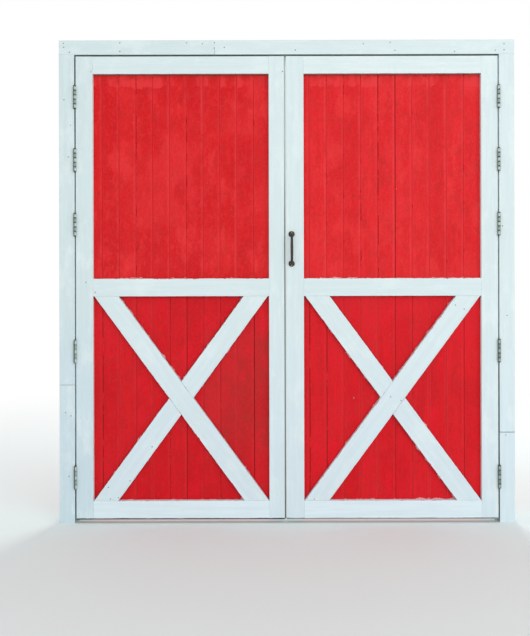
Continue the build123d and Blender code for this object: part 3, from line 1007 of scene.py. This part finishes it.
def barrelShape(bottom, top):
    # the barrel's mesh, and how far each corner is from the nearer end
    inner, outer, soft = hinge["boreRadius"], hinge["barrelRadius"], hinge["endRound"]
    bevel = soft * hinge["bevelMiddle"]
    end = [(inner, 0), (outer - soft, 0), (outer - bevel, bevel), (outer, soft), (outer, (top - bottom) / 3)]
    profile = [(radius, bottom + height) for radius, height in end]
    profile += [(radius, top - height) for radius, height in reversed(end)]
    points = rings(profile, hinge["sides"])
    faces = gridQuads(len(profile), hinge["sides"], True).tolist()
    return points, faces, np.minimum(points[:, upZ] - bottom, top - points[:, upZ])


def addKnuckles(side):
    plates = side + "_hinge_frame_plates"
    plateSpans = solidSpans(plates, hinge["plateClear"])
    left, right = span(plates, acrossX)
    axisX = (left + right) / 2
    axisY = span(plates, deepY)[0] + (right - left) / 2
    height = plateSpans[0][1] - plateSpans[0][0]
    length = (height - (hinge["knuckles"] - 1) * hinge["knuckleGap"]) / hinge["knuckles"]
    for first, body, paint, name in ((0, "frame", "painted_knuckle", "FrameKnuckles"),
                                     (1, side + "_leaf", "bare_knuckle", "LeafKnuckles")):
        bottoms = [index * (length + hinge["knuckleGap"]) for index in range(first, hinge["knuckles"], 2)]
        barrels = [barrelShape(bottom, bottom + length) for bottom in bottoms]
        places = [(axisX, axisY, start) for start, end in plateSpans]
        shape = repeated(joined([barrel[:2] for barrel in barrels]), places)
        toEnd = np.tile(np.concatenate([barrel[2] for barrel in barrels]), len(places))
        newPiece(side + name, shape, paint, body, marks=toEnd)
    return axisX, axisY, plateSpans


def domeProfile(radius, rise, rim, steps):
    # a straight rim and an elliptic crown
    angle = np.linspace(0, math.pi / 2, steps)
    crown = np.stack([radius * np.cos(angle), rim + (rise - rim) * np.sin(angle)], -1)
    return np.vstack([[(0, 0), (radius, 0)], crown])


recess = {
    "innermost": 0.08,  # ring of the head, as a share of its radius
    "flatness": 0.75,
    "armWidth": 0.13,
    "armReach": 0.62,
}


def screwHead(radius, rise, slotDepth, rows, columns):
    # a low dome with a cross recess
    share = np.linspace(1, recess["innermost"], rows)[:, None]
    angle = np.linspace(0, 2 * math.pi, columns, endpoint=False)
    x = radius * share * np.cos(angle)
    y = radius * share * np.sin(angle)
    crown = rise * np.sqrt(1 - recess["flatness"] * share ** 2) + 0 * x
    arm = np.minimum(np.abs(x), np.abs(y)) < radius * recess["armWidth"]
    crown = crown - slotDepth * (arm & (share < recess["armReach"]))
    skirt = np.stack([x[0], y[0], np.zeros(columns)], -1)
    crown = np.stack([x, y, crown], -1).reshape(-1, 3)
    points = np.vstack([skirt, crown, [[0, 0, 0]], [[0, 0, rise - slotDepth]]])
    faces = gridQuads(rows + 1, columns).tolist()
    faces += fan(len(points) - 2, 0, columns, True) + fan(len(points) - 1, rows * columns, columns)
    return points, faces


def addHingeScrews(side, axisX, axisY, plateSpans):
    # two staggered rows on each plate, their heads just proud of it
    head = screwHead(*hinge["screw"])
    outward, other = (-1, "right") if side == "left" else (1, "left")
    plates = (("frame", "FrameScrews", -outward, other), (side + "_leaf", "LeafScrews", outward, side))
    for body, name, faceSide, direction in plates:
        faceX = axisX - faceSide * hinge["plateSpace"] / 2
        places = [(faceX, axisY + hinge["screwDepths"][row % 2], start + height)
                  for start, end in plateSpans for row, height in enumerate(hinge["screwHeights"])]
        newPiece(side + name, repeated(head, places, direction), "zinc", body)


cap = turned(domeProfile(*hinge["cap"]), hinge["capSides"])
for side in ("left", "right"):
    axisX, axisY, plateSpans = addKnuckles(side)
    caps = repeated(cap, [(axisX, axisY, end) for start, end in plateSpans])
    newPiece(side + "PinCaps", caps, "dark_steel", "frame")
    addHingeScrews(side, axisX, axisY, plateSpans)
print("stage: hinges dressed")


# Screws of the bolt cases

boltScrews = {
    "screw": (0.0034, 0.0011, 0.0006, 6, 20),  # radius, rise, recess, rows, columns
    "plate": 0.002,
    "out": 0.0125,  # from the bolt's axis
    "fromEnd": 0.022,
    "caseClear": 0.5,  # the two cases stand further apart than this
}


def addBoltScrews():
    seat = span("bolt_cases", deepY)[0] + boltScrews["plate"]
    axisX = middleOf("bolt_cases")[acrossX]
    places = [(axisX + sign * boltScrews["out"], seat, height)
              for start, end in solidSpans("bolt_cases", boltScrews["caseClear"]) for sign in (-1, 1)
              for height in (start + boltScrews["fromEnd"], end - boltScrews["fromEnd"])]
    screws = repeated(screwHead(*boltScrews["screw"]), places, "back")
    newPiece("boltScrews", screws, "zinc", "left_leaf")


addBoltScrews()


# Pull handle

handle = {
    "footRadius": 0.014,
    "footHeight": 0.006,
    "postRadius": 0.0057,
    "gripRadius": 0.0065,
    "gripHalf": 0.046,
    "squareness": 4.5,  # of the bow: 2 is an ellipse, more is squarer
    "swell": 1.5,  # how fast the grip thickens towards its middle
    "bowSteps": 65,
    "steps": 90,
    "sides": 28,
    "footSides": 40,
    "screw": (0.0027, 0.0016, 0.0007, 9, 32),  # radius, rise, recess, rows, columns
    "screwOut": 0.0088,
    "screwSeat": 0.72,  # share of the foot's height
}


def bowShape(reach, half):
    # a superellipse in even steps, its tube thickest in the middle of the grip
    turn = np.linspace(0, math.pi, handle["bowSteps"])
    power = 2 / handle["squareness"]
    upright = half * np.sign(np.cos(turn)) * np.abs(np.cos(turn)) ** power
    outward = -reach * np.sin(turn) ** power
    path = np.stack([np.zeros_like(turn), outward, upright], -1)
    gaps = np.linalg.norm(np.diff(path, axis=0), axis=1)
    length = np.concatenate([[0], np.cumsum(gaps)])
    even = np.linspace(0, length[-1], handle["steps"])
    path = np.stack([np.interp(even, length, path[:, axis]) for axis in range(3)], -1)
    path[1:-1] = (path[:-2] + 2 * path[1:-1] + path[2:]) / 4
    tangent = np.gradient(path, axis=0)
    tangent /= np.linalg.norm(tangent, axis=1)[:, None]
    side = np.array([1.0, 0, 0])
    outer = np.cross(tangent, side)
    swell = np.clip(1 - (path[:, upZ] / handle["gripHalf"]) ** 2, 0, 1) ** handle["swell"]
    radius = handle["postRadius"] + (handle["gripRadius"] - handle["postRadius"]) * swell
    count = handle["sides"]
    angle = np.linspace(0, 2 * math.pi, count, endpoint=False)
    ring = np.cos(angle)[None, :, None] * side + np.sin(angle)[None, :, None] * outer[:, None, :]
    tube = path[:, None, :] + radius[:, None, None] * ring
    points = np.vstack([tube.reshape(-1, 3), path[:1], path[-1:]])
    faces = gridQuads(len(path), count)[:, ::-1].tolist()
    faces += fan(len(points) - 2, 0, count) + fan(len(points) - 1, (len(path) - 1) * count, count, True)
    return points, faces


def footShape():
    # a domed foot with a stepped rim, in shares of its radius and height
    outline = [(0, 0), (1.0, 0), (1.0, 0.22), (0.965, 0.30), (0.90, 0.34), (0.86, 0.40),
               (0.80, 0.56), (0.68, 0.74), (0.52, 0.88), (0.36, 0.97), (0.2, 1.0), (0, 1.0)]
    return turned(np.array(outline) * (handle["footRadius"], handle["footHeight"]), handle["footSides"])


def addHandle():
    low, high = boxOf("pull_handle")
    centre = (low + high) / 2
    half = (high[upZ] - low[upZ]) / 2 - handle["footRadius"]
    reach = high[deepY] - low[deepY] - handle["gripRadius"]
    feet = repeated(footShape(), [(0, 0, -half), (0, 0, half)], "front")
    seat = (centre[acrossX], high[deepY], centre[upZ])
    shape = repeated(joined([bowShape(reach, half), feet]), [seat])
    piece = newPiece("pullHandle", shape, "bronze_brown", "right_leaf", 60)
    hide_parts("pull_handle")
    seat = high[deepY] - handle["footHeight"] * handle["screwSeat"]
    away = half + handle["screwOut"]
    places = [(centre[acrossX], seat, centre[upZ] + sign * away) for sign in (-1, 1)]
    screws = repeated(screwHead(*handle["screw"]), places, "front")
    newPiece("handleScrews", screws, "brass_and_painted_highlight", "right_leaf")


addHandle()
print("stage: handle made")


# Nails and filled nail holes, placed from the photograph, in metres

nails = {
    "head": (0.0029, 0.0008, 0.0002, 5),  # radius, rise, rim, steps
    "sides": 14,
    "frame": [(-1.004, 2.158), (-1.003, 2.141), (-0.977, 2.118), (-0.750, 2.160), (-0.750, 2.122),
              (-0.449, 2.160), (-0.379, 2.156), (-0.324, 2.160), (-0.326, 2.136), (-0.280, 2.139),
              (0.040, 2.126), (0.346, 2.154), (0.466, 2.160), (0.488, 2.124), (0.756, 2.118),
              (0.940, 2.123), (0.979, 2.153), (0.979, 2.126), (0.983, 0.392), (0.970, 1.333),
              (-0.983, 1.647), (-1.002, 1.905), (-0.974, 0.482), (-0.997, 0.497), (-0.983, 0.210),
              (0.990, 0.930)],
    "left_leaf": [(-0.806, 0.160), (-0.709, 0.189), (-0.797, 0.108), (-0.761, 0.113), (-0.609, 0.342),
                  (-0.905, 1.083), (-0.863, 1.038), (-0.880, 2.030), (-0.018, 2.030)],
    "right_leaf": [(0.757, 0.977), (0.797, 0.959), (0.121, 0.105), (0.465, 0.565), (0.512, 0.548),
                   (0.300, 0.560)],
}


nailHead = turned(domeProfile(*nails["head"]), nails["sides"])
for body in ("frame", "left_leaf", "right_leaf"):
    heads = repeated(nailHead, [(x, frontY, z) for x, z in nails[body]], "front")
    newPiece(body + "_nails", heads, "nail_iron", body)
print("stage: nails placed")


# Camera at the photograph's viewing angle

view = {
    "distance": 4.0,  # from the door's face
    "height": 1.12,
    "across": -0.112,
    "metresPerPixel": 0.0045,
    "frameWidth": 530,
    "frameHeight": 636,
    "footPixel": 522.6,  # the foot of the frame in the photograph
    "centrePixel": 287.0,  # and its middle
    "roll": 0.13,
    "sensor": 36.0,
}


def addCamera():
    data = bpy.data.cameras.new("camera")
    camera = bpy.data.objects.new("camera", data)
    scene.collection.objects.link(camera)
    scale, width = view["metresPerPixel"], view["frameWidth"]
    data.sensor_fit = "HORIZONTAL"
    data.sensor_width = view["sensor"]
    data.lens = view["sensor"] * view["distance"] / (width * scale)
    axisX = view["centrePixel"] + view["across"] / scale
    axisY = view["footPixel"] - view["height"] / scale
    data.shift_x = (width / 2 - axisX) / width
    data.shift_y = -(view["frameHeight"] / 2 - axisY) / width
    camera.location = (view["across"], frontY - view["distance"], view["height"])
    camera.rotation_euler = (math.radians(90), math.radians(view["roll"]), 0)
    scene.camera = camera


# Floor, world and lamps

studio = {
    "floorColour": tone(233, 241, 241),
    "floorRoughness": 0.9,
    "floorSize": 14.0,
    "fadeStart": 1.0,
    "fadeEnd": 5.0,
    "skyColour": (0.985, 0.985, 0.98, 1.0),
    "skyLevel": 0.71,
    "target": (0, 0, 1.0),
}
lamps = {  # energy, size, place
    "key": (216.0, 6.0, (3.6, -7.0, 3.1)),
    "fill": (36.0, 1.7, (-2.6, -6.5, 0.9)),
    "back": (90.0, 1.7, (0.8, 4.0, 3.0)),
}


def blendShaders(tree, share, first, second, output):
    blend = put(tree, "MixShader")
    for socket, value in zip(blend.inputs, (share, first.outputs[0], second.outputs[0])):
        feed(socket, value)
    feed(tree.nodes[output].inputs["Surface"], blend.outputs[0])


def addFloor():
    half = studio["floorSize"] / 2
    mesh = bpy.data.meshes.new("floor")
    corners = [(-half, -half, 0), (half, -half, 0), (half, half, 0), (-half, half, 0)]
    mesh.from_pydata(corners, [], [(0, 1, 2, 3)])
    floor = bpy.data.objects.new("floor", mesh)
    scene.collection.objects.link(floor)
    material, tree = newMaterial("floor_pale")
    shader = tree.nodes["Principled BSDF"]
    feed(shader.inputs["Base Color"], studio["floorColour"])
    feed(shader.inputs["Roughness"], studio["floorRoughness"])
    length = put(tree, "VectorMath", operation="LENGTH")
    feed(length.inputs[0], objectPlace(tree))
    far = fade(length.outputs["Value"], studio["fadeStart"], studio["fadeEnd"])
    seen = put(tree, "LightPath").outputs["Is Camera Ray"]
    blendShaders(tree, times(far, seen), shader, put(tree, "Emission"), "Material Output")
    mesh.materials.append(material)


def setWorld():
    world = bpy.data.worlds.new("studio")
    scene.world = world
    world.use_nodes = True
    tree = world.node_tree
    light = tree.nodes["Background"]
    feed(light.inputs["Color"], studio["skyColour"])
    feed(light.inputs["Strength"], studio["skyLevel"])
    white = put(tree, "Background")
    feed(white.inputs["Color"], (1, 1, 1, 1))
    rays = put(tree, "LightPath").outputs
    seen = sums("MAXIMUM", rays["Is Camera Ray"], rays["Is Glossy Ray"])
    seen = sums("MAXIMUM", seen, rays["Is Transmission Ray"])
    blendShaders(tree, seen, light, white, "World Output")


def addLamp(name, energy, size, place):
    data = bpy.data.lights.new(name, "AREA")
    data.energy = energy
    data.size = size
    lamp = bpy.data.objects.new(name, data)
    scene.collection.objects.link(lamp)
    aim = np.array(studio["target"]) - np.array(place)
    lamp.location = place
    lamp.rotation_euler = (math.atan2(math.hypot(aim[0], aim[1]), -aim[2]), 0, math.atan2(-aim[0], aim[1]))


addCamera()
addFloor()
setWorld()
for name, looks in lamps.items():
    addLamp(name, *looks)
scene.view_settings.view_transform = "Standard"
print("stage: camera, floor and light set")
